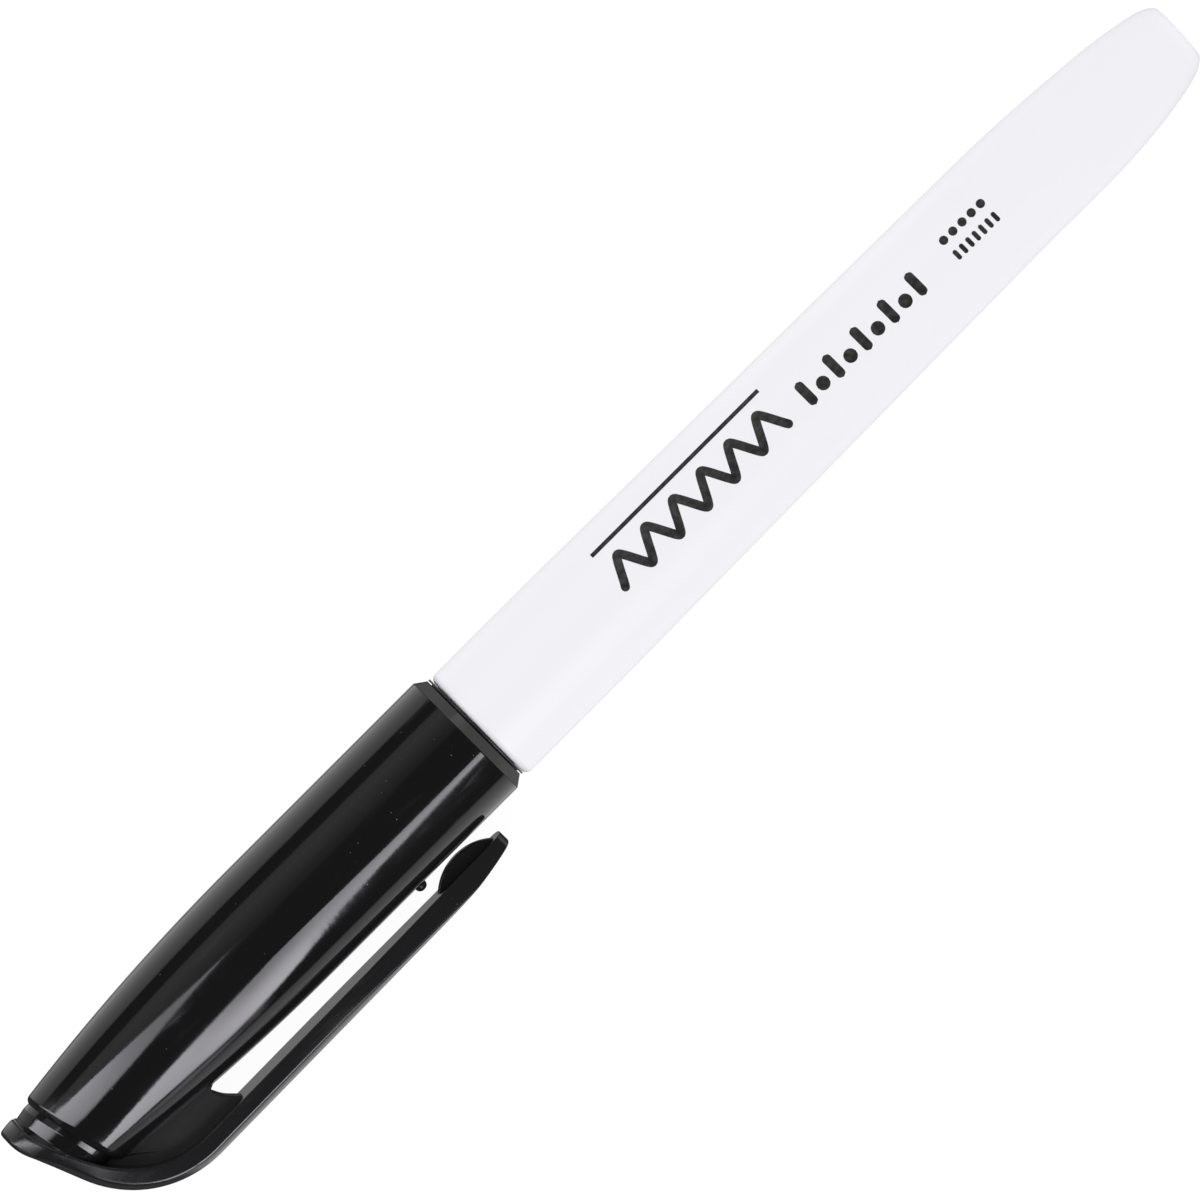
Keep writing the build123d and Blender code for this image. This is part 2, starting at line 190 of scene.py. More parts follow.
def merge_and_orient(thing, distance=2e-6):
    """Joins coincident vertices and turns all faces outwards."""
    work = bmesh.new()
    work.from_mesh(thing.data)
    bmesh.ops.remove_doubles(work, verts=work.verts, dist=distance)
    bmesh.ops.dissolve_degenerate(work, edges=work.edges, dist=distance / 4)
    bmesh.ops.recalc_face_normals(work, faces=work.faces)
    work.to_mesh(thing.data)
    work.free()
    return thing


def rounded_profile(corners, step=1.6, hold=0.07):
    """Points of an outline of straights and rounded corners. A corner is (x, y, radius)."""
    points = [Vector(corners[0][:2])]
    for i in range(1, len(corners)):
        here = Vector(corners[i][:2])
        before = Vector(corners[i - 1][:2])
        radius = corners[i][2] if len(corners[i]) > 2 else 0
        if i == len(corners) - 1 or radius == 0:
            add_straight(points, here, step, hold)
            continue
        after = Vector(corners[i + 1][:2])
        into, out = (here - before).normalized(), (after - here).normalized()
        turn = math.atan2(into.x * out.y - into.y * out.x, into.dot(out))
        reach = radius * math.tan(abs(turn) / 2)
        add_straight(points, here - into * reach, step, hold)
        side = Vector((-into.y, into.x)) * (1 if turn > 0 else -1)
        centre = here - into * reach + side * radius
        count = max(4, int(abs(turn) / math.radians(9)) + 1)
        for k in range(1, count + 1):
            spin = Matrix.Rotation(turn * k / count, 2)
            points.append(centre + spin @ (-side * radius))
    return [(point.x, point.y) for point in points]


def add_straight(points, end, step, hold):
    """Adds a straight run to a list of points, with holding points close to both ends."""
    start = points[-1]
    length = (end - start).length
    if length < 1e-6:
        return
    marks = [length]
    if length > 4 * hold:
        count = max(1, round(length / step))
        marks = [hold] + [length * k / count for k in range(1, count)] + [length - hold, length]
    for mark in sorted(marks):
        points.append(start.lerp(end, mark / length))


def ring_faces(rings):
    """Quads between each closed ring of vertices and the next."""
    count = len(rings[0])
    return [
        (low[k], low[(k + 1) % count], high[(k + 1) % count], high[k])
        for low, high in zip(rings, rings[1:])
        for k in range(count)
    ]


def lathe(name, profile, material, place=None, around=AROUND):
    """Turned closed surface about the marker's axis; profile points are (x, radius)."""
    place = place or (lambda x, radius, angle: at(x, radius * math.cos(angle), radius * math.sin(angle)))
    vertices, rings = [], []
    for x, radius in profile:
        if radius < 1e-6:
            rings.append([len(vertices)] * around)
            vertices.append(place(x, 0, 0))
            continue
        rings.append(list(range(len(vertices), len(vertices) + around)))
        vertices += [place(x, radius, 2 * math.pi * k / around) for k in range(around)]
    return merge_and_orient(make_object(name, vertices, ring_faces(rings), material))


def nudge(thing, distance):
    """Moves a mesh towards the clip by a distance in mm."""
    thing.data.transform(Matrix.Translation(TO_CLIP * distance * MM))


def arc_drop(distance, radius):
    """Fall of a tangent arc away from its tangent line after a given run."""
    return radius - math.sqrt(radius ** 2 - distance ** 2)


def smooth(value, low, high):
    """0 below low, 1 above high, and an even S-curve between."""
    share = min(1.0, max(0.0, (value - low) / (high - low)))
    return share * share * (3 - 2 * share)


# ---- materials -------------------------------------------------------------------------------------
def new_material(name):
    """Empty material with its Principled shader; returns (material, nodes, links, shader)."""
    material = bpy.data.materials.new(name)
    material.use_nodes = True
    nodes, links = material.node_tree.nodes, material.node_tree.links
    return material, nodes, links, nodes["Principled BSDF"]


def noise_node(nodes, links, scale, detail=3.0, stretch=(1, 1, 1), distortion=0.0):
    """Noise over the object's own coordinates, in metres; stretch squeezes it along an axis."""
    coordinates = nodes.new("ShaderNodeTexCoord")
    mapping = nodes.new("ShaderNodeMapping")
    mapping.inputs["Scale"].default_value = stretch
    texture = nodes.new("ShaderNodeTexNoise")
    texture.inputs["Scale"].default_value = scale
    texture.inputs["Detail"].default_value = detail
    texture.inputs["Distortion"].default_value = distortion
    links.new(coordinates.outputs["Object"], mapping.inputs["Vector"])
    links.new(mapping.outputs["Vector"], texture.inputs["Vector"])
    return texture.outputs["Fac"]


def remap(nodes, links, source, low, high, to_low, to_high):
    """Clamped linear remap of a value."""
    node = nodes.new("ShaderNodeMapRange")
    for socket, value in zip(("From Min", "From Max", "To Min", "To Max"), (low, high, to_low, to_high)):
        node.inputs[socket].default_value = value
    links.new(source, node.inputs["Value"])
    return node.outputs["Result"]


def bump(nodes, links, height, distance, strength=1.0, below=None):
    """Bump from a height, stacked on another bump if one is given."""
    node = nodes.new("ShaderNodeBump")
    node.inputs["Strength"].default_value = strength
    node.inputs["Distance"].default_value = distance
    links.new(height, node.inputs["Height"])
    if below is not None:
        links.new(below, node.inputs["Normal"])
    return node.outputs["Normal"]


def mix_colour(nodes, links, factor, first, second):
    """Mix of two colours by a value; each is a colour or a socket."""
    node = nodes.new("ShaderNodeMix")
    node.data_type = "RGBA"
    links.new(factor, node.inputs["Factor"])
    for socket, colour in ((node.inputs[6], first), (node.inputs[7], second)):
        if isinstance(colour, tuple):
            socket.default_value = (*colour, 1)
        else:
            links.new(colour, socket)
    return node.outputs[2]


def combine(nodes, links, operation, first, second):
    """Maths on two values; each is a number or a socket."""
    node = nodes.new("ShaderNodeMath")
    node.operation = operation
    for socket, value in zip(node.inputs, (first, second)):
        if isinstance(value, (int, float)):
            socket.default_value = value
        else:
            links.new(value, socket)
    return node.outputs[0]


def black_plastic(name, black, rough_low, rough_high):
    """Black moulded plastic with fine rubs, dust specks and a faint moulding ripple."""
    material, nodes, links, shader = new_material(name)
    rubs = noise_node(nodes, links, 900, 4, (0.12, 1, 1), 0.4)
    patches = noise_node(nodes, links, 110, 3)
    rub_mask = combine(
        nodes, links, "MULTIPLY",
        remap(nodes, links, rubs, 0.56, 0.70, 0, 1),
        remap(nodes, links, patches, 0.48, 0.68, 0, 1),
    )
    specks = noise_node(nodes, links, 3300, 1)
    speck_mask = remap(nodes, links, specks, 0.80, 0.82, 0, 1)
    plain = (black, black, black * 1.08)
    worn_black = tuple(part + 0.008 for part in plain)
    dull = mix_colour(nodes, links, rub_mask, plain, worn_black)
    colour = mix_colour(nodes, links, speck_mask, dull, (0.12, 0.115, 0.11))
    links.new(colour, shader.inputs["Base Color"])
    base_rough = remap(nodes, links, patches, 0.3, 0.7, rough_low, rough_high)
    worn = combine(nodes, links, "MULTIPLY", rub_mask, 0.14)
    dusty = combine(nodes, links, "MULTIPLY", speck_mask, 0.4)
    rough = combine(nodes, links, "ADD", base_rough, combine(nodes, links, "ADD", worn, dusty))
    links.new(rough, shader.inputs["Roughness"])
    ripple = bump(nodes, links, noise_node(nodes, links, 160, 2, (0.35, 1, 1)), 0.00004, 0.5)
    grain = bump(nodes, links, noise_node(nodes, links, 1500, 3), 0.000003, 0.6, ripple)
    links.new(grain, shader.inputs["Normal"])
    shader.inputs["IOR"].default_value = 1.5
    return material


def white_plastic(name, colour, rough_low, rough_high):
    """Smooth white moulded plastic: faint cloudiness and a very light grain."""
    material, nodes, links, shader = new_material(name)
    clouds = noise_node(nodes, links, 90, 4, (0.4, 1, 1))
    shade = tuple(part * 0.985 for part in colour)
    tint = mix_colour(nodes, links, remap(nodes, links, clouds, 0.3, 0.7, 0, 1), colour, shade)
    links.new(tint, shader.inputs["Base Color"])
    links.new(remap(nodes, links, clouds, 0.3, 0.7, rough_low, rough_high), shader.inputs["Roughness"])
    ripple = bump(nodes, links, noise_node(nodes, links, 120, 2, (0.3, 1, 1)), 0.00004, 0.4)
    grain = bump(nodes, links, noise_node(nodes, links, 1800, 3), 0.000003, 0.5, ripple)
    links.new(grain, shader.inputs["Normal"])
    shader.inputs["IOR"].default_value = 1.49
    shader.inputs["Specular IOR Level"].default_value = 0.3
    return material


def black_satin(name):
    """Black moulded plastic with a satin skin; on the holder its black is also painted shade in the gap at
    the cap's mouth.
    """
    material, nodes, links, shader = new_material(name)
    clouds = noise_node(nodes, links, 260, 4, (0.4, 1, 1))
    mask = remap(nodes, links, clouds, 0.35, 0.7, 0, 1)
    colour = mix_colour(nodes, links, mask, (0.012, 0.012, 0.013), (0.02, 0.02, 0.021))
    links.new(colour, shader.inputs["Base Color"])
    links.new(remap(nodes, links, clouds, 0.3, 0.7, 0.32, 0.45), shader.inputs["Roughness"])
    links.new(bump(nodes, links, noise_node(nodes, links, 1600, 3), 0.000006, 0.6), shader.inputs["Normal"])
    return material


def print_ink():
    """Thin black pad-printed ink with slightly uneven cover."""
    material, nodes, links, shader = new_material("print_black")
    cover = noise_node(nodes, links, 2200, 4)
    thin = remap(nodes, links, cover, 0.42, 0.72, 0, 1)
    colour = mix_colour(nodes, links, thin, (0.018, 0.018, 0.017), (0.045, 0.044, 0.041))
    links.new(colour, shader.inputs["Base Color"])
    links.new(remap(nodes, links, cover, 0.3, 0.7, 0.34, 0.5), shader.inputs["Roughness"])
    links.new(bump(nodes, links, cover, 0.000006, 0.5), shader.inputs["Normal"])
    return material


def felt(name, dark, light, scale, stretch):
    """Pressed fibre: strands along the axis, dull and soaked in ink."""
    material, nodes, links, shader = new_material(name)
    strands = noise_node(nodes, links, scale, 5, stretch)
    share = remap(nodes, links, strands, 0.35, 0.65, 0, 1)
    links.new(mix_colour(nodes, links, share, dark, light), shader.inputs["Base Color"])
    links.new(remap(nodes, links, strands, 0.3, 0.7, 0.62, 0.92), shader.inputs["Roughness"])
    links.new(bump(nodes, links, strands, 0.00005, 0.8), shader.inputs["Normal"])
    shader.inputs["Sheen Weight"].default_value = 0.12
    shader.inputs["Sheen Roughness"].default_value = 0.5
    return material


def clear_film():
    """Thin clear wrap of the ink reservoir."""
    material, nodes, links, shader = new_material("reservoir_film_clear")
    wrinkles = noise_node(nodes, links, 420, 3, (0.2, 1, 1))
    colour = mix_colour(nodes, links, wrinkles, (0.5, 0.5, 0.52), (0.62, 0.62, 0.64))
    links.new(colour, shader.inputs["Base Color"])
    links.new(remap(nodes, links, wrinkles, 0.3, 0.7, 0.12, 0.3), shader.inputs["Roughness"])
    links.new(bump(nodes, links, wrinkles, 0.00008, 0.6), shader.inputs["Normal"])
    shader.inputs["Alpha"].default_value = 0.5
    return material


CAP_BLACK = black_plastic("cap_black_gloss", 0.0085, 0.05, 0.10)
CLIP_BLACK = black_plastic("clip_black_gloss", 0.0135, 0.13, 0.20)
WEB_BLACK = black_plastic("web_black", 0.0145, 0.38, 0.46)
BARREL_WHITE = white_plastic("barrel_white_gloss", (0.90, 0.896, 0.935), 0.36, 0.44)
# The holder is black plastic, and its black collar, seen through the thin gap between the cap's mouth and
# the barrel, also stands in for the shade in that gap: painted shade.
HOLDER_BLACK_AND_GAP_SHADE = black_satin("holder_black_and_gap_shade")
SEAL_NATURAL = white_plastic("seal_natural_soft", (0.74, 0.74, 0.715), 0.48, 0.6)
INK_BLACK = print_ink()
NIB_FELT = felt("nib_felt_black", (0.006, 0.006, 0.007), (0.03, 0.03, 0.032), 5200, (0.12, 1, 1))
CORE_FIBRE = felt("reservoir_fibre", (0.01, 0.01, 0.012), (0.06, 0.06, 0.065), 3600, (0.05, 1, 1))
FILM_CLEAR = clear_film()


# ---- barrel and writing unit -----------------------------------------------------------------------
def tail_radius(x):
    """Outside radius of the barrel at x, from the grip to the start of the tail's rounded edge."""
    grip_end = BARREL_FRONT + GRIP_LENGTH
    slope = (TAPER_END_RADIUS - BARREL_RADIUS) / (TAPER_END - grip_end)
    straight = BARREL_RADIUS + slope * max(0.0, x - grip_end)
    over = max(0.0, x - TAIL_START)
    return straight - 0.0030 * over ** 2 - 0.0000004 * over ** 5


def tail_place(x, radius, angle):
    """Lathe placing for the barrel: its tail swings slightly to the clip's side and ends askew."""
    u = radius * math.cos(angle) + TAIL_SWING * smooth(x, 116.0, 128.5)
    lean = TAIL_SKEW * u * smooth(x, 133.0, 137.0)
    return at(x - lean, u, radius * math.sin(angle))


def barrel_piece():
    """White tube, closed and rounded at the tail."""
    lip = rounded_profile([
        (BARREL_FRONT + 9, FRONT_BORE),
        (BARREL_FRONT, FRONT_BORE, 0.1),
        (BARREL_FRONT, BARREL_RADIUS, 0.65),
        (BARREL_FRONT + 1.5, BARREL_RADIUS),
    ])
    tail_start = TAIL_END - 1.9
    xs = [BARREL_FRONT + 1.5 + k for k in range(1, 64)]
    xs += [xs[-1] + (tail_start - xs[-1]) * k / 26 for k in range(1, 27)]
    wall = [(x, tail_radius(x)) for x in xs]
    slope = (tail_radius(tail_start) - tail_radius(tail_start - 0.02)) / 0.02
    edge = rounded_edge((tail_start, tail_radius(tail_start)), slope, TAIL_END)
    inside = [(135.0, 0), (135.0, 1.4), (132.5, 3.02), (128.5, 3.92), (TAPER_END, 4.04)]
    profile = inside + lip + wall + edge + [(TAIL_END, 1.2), (TAIL_END, 0)]
    piece = lathe("barrel_body", profile, BARREL_WHITE, tail_place)
    nudge(piece, BARREL_OFFSET)
    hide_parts("barrel")
    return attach(piece, "barrel")


def rounded_edge(start, slope, flat_x, count=10):
    """Curve from a sloping wall round to a flat end: a cubic with both end directions kept."""
    x0, r0 = start
    x1, r1 = flat_x, TAIL_FLAT_RADIUS
    reach = (flat_x - x0) * 0.62
    first = Vector((x0, r0))
    second = first + Vector((1, slope)) * reach
    last = Vector((x1, r1))
    third = last + Vector((0, 0.45))
    points = []
    for k in range(1, count + 1):
        t = k / count
        point = (first * (1 - t) ** 3 + second * 3 * t * (1 - t) ** 2
                 + third * 3 * t * t * (1 - t) + last * t ** 3)
        points.append((point.x, point.y))
    return points


def snap_rib(back, radius, height, steps=12):
    """Half-round rib from its back end forwards, standing out from a wall; it dips if height is negative."""
    return [
        (back - SNAP_LENGTH * k / steps, radius + height * math.sin(math.pi * k / steps))
        for k in range(1, steps + 1)
    ]


def holder_piece():
    """Nib holder: plug, thin collar, section with its snap ring, nose."""
    front = BARREL_FRONT
    collar = front - 0.2
    profile = rounded_profile([
        (30.5, NIB_SEAT_RADIUS), (30.5, HOLDER_BORE), (front + 9, HOLDER_BORE), (front + 9, 4.2, 0.1),
        (front + 8.5, FRONT_BORE, 0.1), (front - 0.02, FRONT_BORE), (front - 0.02, COLLAR_RADIUS, 0.04),
        (collar, COLLAR_RADIUS, 0.04), (collar, SECTION_RADIUS, 0.05), (RING_BACK, SECTION_RADIUS),
    ])
    profile += snap_rib(RING_BACK, SECTION_RADIUS, RING_HEIGHT)
    profile += rounded_profile([
        (45.7, SECTION_RADIUS), (38.4, SECTION_RADIUS, 20.0), (26.4, 4.5, 0.7), (24.8, NOSE_RADIUS, 0.6),
        (17.5, NOSE_RADIUS, 0.4), (16.6, 2.35, 0.2), (16.6, NIB_SEAT_RADIUS, 0.1), (18.0, NIB_SEAT_RADIUS),
    ])[1:]
    profile += [(30.5, NIB_SEAT_RADIUS)]
    # Black holder: where its collar shows in the gap at the cap's mouth, its black is partly painted shade
    # for that gap.
    piece = lathe("nib_holder_body", profile, HOLDER_BLACK_AND_GAP_SHADE)
    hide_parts("nib_holder")
    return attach(piece, "barrel")


def nib_piece():
    """Bullet nib with a softly worn tip."""
    profile = [(38.5, 0), (38.5, 0.9), (NIB_BACK, NIB_RADIUS)]
    profile += [(NIB_BACK - 20.1 * k / 14, NIB_RADIUS) for k in range(1, 15)]
    for k in range(1, 21):
        angle = math.pi / 2 * k / 20
        radius = NIB_RADIUS * math.cos(angle) ** 0.86 if k < 20 else 0
        profile.append((NIB_SHOULDER - 3.0 * math.sin(angle), radius))
    piece = lathe("nib_bullet", profile, NIB_FELT, around=96)
    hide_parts("nib")
    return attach(piece, "barrel")


def seal_piece():
    """Soft inner seal in the closed end of the cap."""
    profile = rounded_profile([
        (CAVITY_END, 0), (CAVITY_END, SEAL_RADIUS, 0.2), (12.27, SEAL_RADIUS, 0.3), (14.27, 3.75, 0.6),
        (23.2, 3.75, 0.15), (23.2, 3.45, 0.1), (22.4, SEAL_BORE, 0.3), (8.07, SEAL_BORE, 0.4), (8.07, 0),
    ])
    piece = lathe("inner_seal_cup", profile, SEAL_NATURAL, around=120)
    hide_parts("cap_inner_seal")
    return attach(piece, "cap")


# ---- cap -------------------------------------------------------------------------------------------
def cap_radius(x):
    """Outside radius of the cap body."""
    return CAP_RADIUS - arc_drop(max(CAP_STRAIGHT - x, 0.0), CAP_TAPER_ARC)


def cap_place(x, radius, angle):
    """Lathe placing for the cap body: its closed end is slanted, fading out along the taper."""
    u, v = math.cos(angle), math.sin(angle)
    if radius < SEAL_RADIUS + 0.01 and x > CAVITY_END - 0.01:
        return at(x, radius * u, radius * v)
    share = 1 - smooth(x, 5.4, 15.0)
    outer = radius > cap_radius(x) - 0.95
    moved = x + CAP_END_SLOPE * radius * u * share
    if outer:
        radius += cap_radius(moved) - cap_radius(x)
    return at(moved, radius * u, radius * v)


def cap_body_piece():
    """Cap body: slanted closed end, long taper, straight stretch, bevelled mouth and hollow inside."""
    end_corner = rounded_profile([
        (CAP_END, 0), (CAP_END, cap_radius(CAP_END), 0.8), (CAP_END + 1.6, cap_radius(CAP_END + 1.6)),
    ])
    taper = [(x, cap_radius(x)) for x in (CAP_END + 1.6 + k * 0.8 for k in range(1, 30))]
    mouth = rounded_profile([
        (CAP_STRAIGHT, CAP_RADIUS), (CAP_MOUTH - 1.02, CAP_RADIUS, 0.12),
        (CAP_MOUTH - 0.04, CAP_RADIUS - 0.70, 0.12), (CAP_MOUTH, CAP_BORE + 0.1, 0.06),
        (CAP_MOUTH - 0.3, CAP_BORE, 0.2), (CATCH_BACK, CAP_BORE),
    ])
    catch = snap_rib(CATCH_BACK, CAP_BORE, -CATCH_HEIGHT)
    inside = rounded_profile([
        (48.2, CAP_BORE), (34.2, CAP_BORE), (30.2, CAP_BORE - 0.06), (12.27, SEAL_RADIUS + 0.02),
        (CAVITY_END - 0.01, SEAL_RADIUS + 0.02), (CAVITY_END - 0.01, 0),
    ])
    profile = end_corner + taper + mouth + catch + inside[1:]
    piece = lathe("cap_body", profile, CAP_BLACK, cap_place, around=192)
    nudge(piece, CAP_OFFSET)
    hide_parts("cap_shell")
    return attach(piece, "cap")


def neck_piece():
    """Short round neck, which widens from a groove behind the plate towards the cap body."""
    profile = rounded_profile([
        (1.3, 0), (1.3, NECK_RADIUS + 0.05), (2.0, NECK_RADIUS + 0.05, 0.3),
        (2.55, NECK_RADIUS - 0.1, 0.2), (3.7, NECK_RADIUS + 0.11, 0.5),
        (5.9, NECK_RADIUS + 0.11), (5.9, 0),
    ], step=0.3)

    def place(x, radius, angle):
        u = radius * math.cos(angle)
        behind = smooth(x, 1.9, 2.7)
        lean = plate_lean(u) * (1 - behind) + CAP_END_SLOPE * (u + 2.0) * behind
        least = min(x, 1.9) + plate_lean(u) + 0.2 * max(0.0, x - 1.9)
        return at(max(x + lean, least), u, radius * math.sin(angle))

    piece = lathe("cap_neck", profile, CAP_BLACK, place, around=128)
    nudge(piece, CAP_OFFSET)
    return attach(piece, "cap")


def plate_lean(u):
    """How far the plate's slanted part stands towards the barrel at a height u."""
    return max(0.0, u - bend_height()) * math.tan(PLATE_SLANT)


def bend_height():
    """Height on the end plate's outer face at which its slanted part begins."""
    return CLIP_CORNER[1] - (CLIP_CORNER[0] - PLATE_FACE) / math.tan(PLATE_SLANT)


def pip_piece():
    """Small moulded stud on the cap under the clip, with a soft foot and a round head."""
    wall = PIP_RADIUS + 0.02
    profile = [(-0.5, 0), (-0.5, wall + 0.22), (-0.02, wall + 0.22)]
    for k in range(1, 7):
        angle = math.pi / 2 * k / 6
        profile.append((0.16 * (1 - math.cos(angle)), wall + 0.2 - 0.2 * math.sin(angle)))
    shoulder = PIP_HEIGHT - 0.42
    for k in range(1, 11):
        angle = math.pi / 2 * k / 10
        profile.append((shoulder + 0.42 * math.sin(angle), PIP_RADIUS * math.cos(angle) if k < 10 else 0))

    def place(height, radius, angle):
        x = PIP_X + radius * math.cos(angle)
        return at(x, CAP_RADIUS - 0.02 + height, radius * math.sin(angle))

    piece = lathe("cap_pip", profile, WEB_BLACK, place, around=48)
    nudge(piece, CAP_OFFSET)
    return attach(piece, "cap")


# ---- clip ribbon -----------------------------------------------------------------------------------
def filleted_path(corners, radii):
    """Straights and tangent arcs through corners, as (kind, length, data) stretches."""
    stretches, here = [], Vector(corners[0])
    for i in range(1, len(corners)):
        target = Vector(corners[i])
        heading = (target - here).normalized()
        if i == len(corners) - 1:
            stretches.append(("line", (target - here).length, (here.copy(), heading)))
            continue
        onward = (Vector(corners[i + 1]) - target).normalized()
        turn = math.atan2(heading.x * onward.y - heading.y * onward.x, heading.dot(onward))
        reach = radii[i - 1] * math.tan(abs(turn) / 2)
        start = target - heading * reach
        stretches.append(("line", (start - here).length, (here.copy(), heading)))
        stretches.append(("arc", radii[i - 1] * abs(turn), (start, heading, turn, radii[i - 1])))
        here = target + onward * reach
    return stretches


def along_path(stretches, distance):
    """(point, direction) at a distance along a path."""
    for kind, length, data in stretches:
        last = stretches[-1][2] is data
        if distance > length and not last:
            distance -= length
            continue
        if kind == "line":
            return data[0] + data[1] * distance, data[1]
        start, heading, turn, radius = data
        angle = math.copysign(distance / radius, turn)
        side = Vector((-heading.y, heading.x)) * math.copysign(1, turn)
        centre = start + side * radius
        spin = Matrix.Rotation(angle, 2)
        return centre + spin @ (-side * radius), spin @ heading


CLIP_PATH = filleted_path(
    [
        (PLATE_FACE, -PLATE_RADIUS),
        (PLATE_FACE, bend_height()),
        CLIP_CORNER,
        (CLIP_END, CLIP_CORNER[1] - (CLIP_END - CLIP_CORNER[0]) * math.tan(CLIP_DROOP)),
    ],
    [PLATE_BEND_RADIUS, CLIP_BEND_RADIUS],
)
CLIP_LENGTH = sum(stretch[1] for stretch in CLIP_PATH)
EDGE_STEPS = 8


def on_clip(s, v, height):
    """Point at a distance s along the clip's outer line, v across, height outwards of it."""
    point, heading = along_path(CLIP_PATH, s)
    outward = Vector((-heading.y, heading.x))
    spot = point + outward * height
    return at(spot.x, spot.y, v)


def ribbon_outline():
    """Right half of the flattened clip's outline: round plate, taper, straight sides, blunt nose."""
    centre = PLATE_RADIUS
    taper_end = centre + PLATE_TAPER
    drop = Vector((taper_end - centre, CLIP_HALF_WIDTH))
    tangent = math.atan2(drop.y, drop.x) + math.acos(PLATE_RADIUS / drop.length)
    arc = [
        (centre + PLATE_RADIUS * math.cos(a), PLATE_RADIUS * math.sin(a))
        for a in (math.pi - (math.pi - tangent) * k / 44 for k in range(45))
    ]
    rest = rounded_profile([
        (*arc[-1], 0), (taper_end, CLIP_HALF_WIDTH, 9.0),
        (CLIP_LENGTH - NOSE_TAPER, CLIP_HALF_WIDTH, 60.0),
        (CLIP_LENGTH, NOSE_HALF_WIDTH, 0.9), (CLIP_LENGTH, 0),
    ], step=0.6)
    return arc + rest[1:]


def crown_drop(s, v):
    """Fall of the outer face away from its middle line: nearly flat on the plate, crowned on the clip."""
    narrowing = (PLATE_RADIUS - CLIP_HALF_WIDTH) / PLATE_TAPER * 1.03
    wide = CLIP_HALF_WIDTH + narrowing * max(0.0, PLATE_RADIUS + PLATE_TAPER - s)
    scaled = min(1.0, abs(v) / min(wide, PLATE_RADIUS)) * CLIP_HALF_WIDTH
    drop = arc_drop(scaled, CLIP_CROWN_RADIUS) * (0.15 + 0.85 * smooth(s, 1.0, 6.0))
    point, _ = along_path(CLIP_PATH, s)
    fall = arc_drop(max(0.0, point.x - NOSE_FALL_START), NOSE_FALL_ARC) if s > 20 else 0.0
    soft = 0.03
    return 0.5 * (drop + fall + math.sqrt((drop - fall) ** 2 + soft ** 2)) - soft / 2


def ribbon_thickness(s):
    """Thickness of the ribbon: thinner at the end plate."""
    return PLATE_THICKNESS + (CLIP_THICKNESS - PLATE_THICKNESS) * smooth(s, 5.0, 13.0)


def ribbon_rays():
    """Outline points with the middle-line point that each faces."""
    half = ribbon_outline()
    whole = half + [(s, -v) for s, v in reversed(half[1:-1])]
    rays = []
    for s, v in whole:
        spine = min(max(s, PLATE_RADIUS), CLIP_LENGTH - 1.3)
        rays.append((Vector((s, v)), Vector((spine, 0))))
    return rays


def past_plate(edge):
    """0 at the end plate's rim and 1 along the clip."""
    return smooth(edge.x, 3.5, 9.0)


def outer_edge(edge):
    """Rounding radius of the outer edge: soft on the plate, crisp along the clip."""
    nose = smooth(edge.x, CLIP_LENGTH - 2, CLIP_LENGTH - 0.3)
    return 0.34 - 0.20 * past_plate(edge) + 0.12 * nose


def inner_edge(edge):
    """Rounding radius of the inner edge: a bevel round the plate, crisp on the clip."""
    return 0.30 - 0.16 * smooth(edge.x, 3.5, 8.5)


def draft(edge, share=0.0):
    """How far the plate's rim, which bulges, stands in at a share of its depth."""
    return 0.12 * (1 - past_plate(edge)) * (1 - share) ** 1.7


def turn(edge, k):
    """Angle at step k of the rounded outer edge, which stops early where the bulging rim takes over."""
    stop = 0.22 * (1 - past_plate(edge))
    return math.pi / 2 - (math.pi / 2 - stop) * k / EDGE_STEPS


def edge_height(s, v, edge, k):
    """Height at step k of the rounded outer edge; the rim's wall begins at the last step."""
    return -crown_drop(s, v) - outer_edge(edge) * (1 - math.sin(turn(edge, k)))


def face_inset(edge):
    """How far in from the outline the outer face ends."""
    return draft(edge) + outer_edge(edge)


def ribbon_piece():
    """End plate and clip in one crowned ribbon, which bends about the clip's root."""
    rays = ribbon_rays()
    vertices, rings = [], []

    def add_ring(inset_of, height_of):
        ring = []
        for edge, spine in rays:
            length = (edge - spine).length
            spot = edge + (spine - edge) * min(1.0, inset_of(edge, length) / length)
            ring.append(len(vertices))
            vertices.append(on_clip(spot.x, spot.y, height_of(spot.x, spot.y, edge)))
        rings.append(ring)

    for share in (1.0, 0.8, 0.6, 0.4, 0.2, 0.06):
        add_ring(
            lambda edge, length, share=share: face_inset(edge) + (length - face_inset(edge)) * share,
            lambda s, v, edge: -crown_drop(s, v),
        )
    for k in range(EDGE_STEPS + 1):
        add_ring(
            lambda edge, length, k=k: draft(edge) + outer_edge(edge) * (
                math.cos(turn(edge, EDGE_STEPS)) - math.cos(turn(edge, k))),
            lambda s, v, edge, k=k: edge_height(s, v, edge, k),
        )
    for share in (0.12, 0.3, 0.5, 0.7, 0.88):
        add_ring(
            lambda edge, length, share=share: draft(edge, share),
            lambda s, v, edge, share=share: (
                edge_height(s, v, edge, EDGE_STEPS) * (1 - share)
                + (-ribbon_thickness(s) + inner_edge(edge)) * share
            ),
        )
    for k in range(5):
        angle = math.pi / 2 * k / 4
        add_ring(
            lambda edge, length, angle=angle: 0.6 * inner_edge(edge) * (1 - math.cos(angle)),
            lambda s, v, edge, angle=angle: -ribbon_thickness(s) + inner_edge(edge) * (1 - math.sin(angle)),
        )
    for share in (0.06, 0.35, 0.7, 1.0):
        add_ring(
            lambda edge, length, share=share: (
                0.6 * inner_edge(edge) + (length - 0.6 * inner_edge(edge)) * share
            ),
            lambda s, v, edge: -ribbon_thickness(s),
        )
    piece = merge_and_orient(make_object("clip_ribbon", vertices, ring_faces(rings), CLIP_BLACK))
    nudge(piece, CAP_OFFSET)
    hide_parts("clip_arm")
    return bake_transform(piece)


